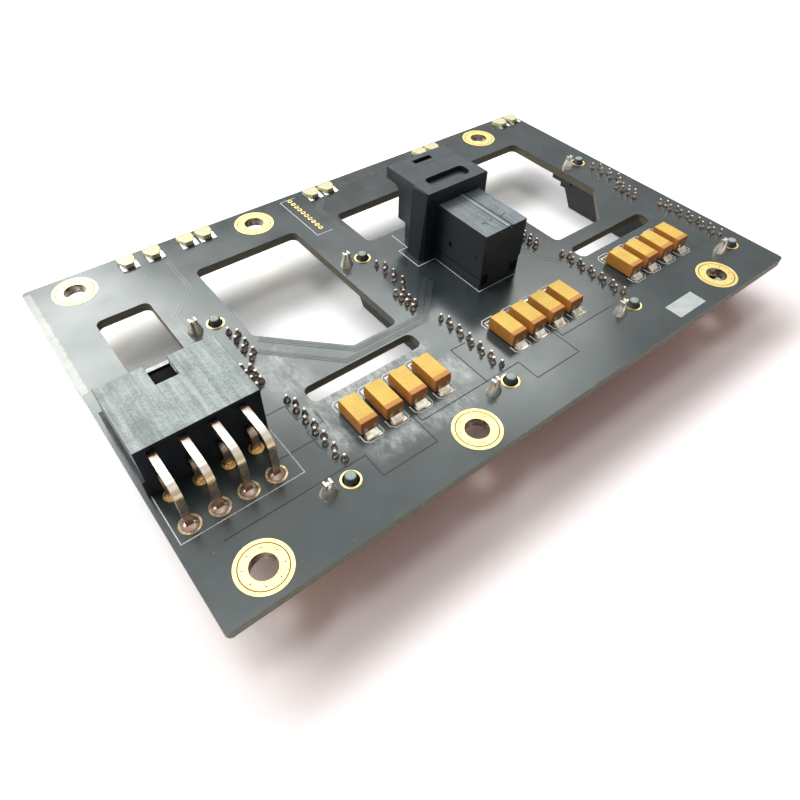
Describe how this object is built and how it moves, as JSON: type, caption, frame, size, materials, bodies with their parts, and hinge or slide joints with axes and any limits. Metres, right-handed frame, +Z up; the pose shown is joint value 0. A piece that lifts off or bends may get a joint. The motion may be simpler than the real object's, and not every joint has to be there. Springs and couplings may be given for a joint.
{
  "type": "drive backplane board",
  "caption": "Dark circuit board with drive sockets underneath, a hooded data port and a power header on top, square windows, capacitor rows and edge lights.",
  "frame": {"origin": "middle of the board's outline in plan, at the level of the drive sockets' mating faces, on which it stands", "axes": "+X along the long front edge towards the end with the label block, +Y from the front edge to the edge with the lights, +Z up from the drive sockets through the board to the power header and data port"},
  "size_m": [0.118, 0.074, 0.024],
  "materials": {
    "laminate": "glossy dark solder mask",
    "socket_plastic": "fine matt moulding",
    "contact_plate": "tinned and gold-flashed copper alloy",
    "lock_steel": "bright tinned sheet",
    "header_plastic": "fine matt moulding with light scuffs",
    "blade_tin": "bright tin over copper alloy",
    "port_plastic": "fine matt moulding",
    "wafer_plastic": "matt moulding",
    "capacitor_resin": "matt moulded resin",
    "terminal_tin": "tinned strip",
    "light_resin": "milky resin"
  },
  "bodies": {
    "root": {"board": "laminate", "drive_socket_1_housing": "socket_plastic", "drive_socket_1_power_contacts": "contact_plate", "drive_socket_1_signal_contacts": "contact_plate", "drive_socket_1_board_locks": "lock_steel", "drive_socket_2_housing": "socket_plastic", "drive_socket_2_power_contacts": "contact_plate", "drive_socket_2_signal_contacts": "contact_plate", "drive_socket_2_board_locks": "lock_steel", "drive_socket_3_housing": "socket_plastic", "drive_socket_3_power_contacts": "contact_plate", "drive_socket_3_signal_contacts": "contact_plate", "drive_socket_3_board_locks": "lock_steel", "drive_socket_4_housing": "socket_plastic", "drive_socket_4_power_contacts": "contact_plate", "drive_socket_4_signal_contacts": "contact_plate", "drive_socket_4_board_locks": "lock_steel", "power_header_housing": "header_plastic", "power_header_lower_blades": "blade_tin", "power_header_upper_blades": "blade_tin", "data_port_shroud": "port_plastic", "data_port_cover": "port_plastic", "data_port_wafers": "wafer_plastic", "data_port_contacts": "contact_plate", "capacitor_a1": "capacitor_resin", "capacitor_a2": "capacitor_resin", "capacitor_a3": "capacitor_resin", "capacitor_a4": "capacitor_resin", "capacitor_a_terminals": "terminal_tin", "capacitor_b1": "capacitor_resin", "capacitor_b2": "capacitor_resin", "capacitor_b3": "capacitor_resin", "capacitor_b4": "capacitor_resin", "capacitor_b_terminals": "terminal_tin", "capacitor_c1": "capacitor_resin", "capacitor_c2": "capacitor_resin", "capacitor_c3": "capacitor_resin", "capacitor_c4": "capacitor_resin", "capacitor_c_terminals": "terminal_tin", "edge_light_1": "light_resin", "edge_light_2": "light_resin", "edge_light_3": "light_resin", "edge_light_4": "light_resin", "edge_light_5": "light_resin", "edge_light_6": "light_resin", "edge_light_7": "light_resin", "edge_light_8": "light_resin", "edge_light_9": "light_resin", "edge_light_10": "light_resin", "edge_light_terminals": "terminal_tin"}
  },
  "joints": []
}
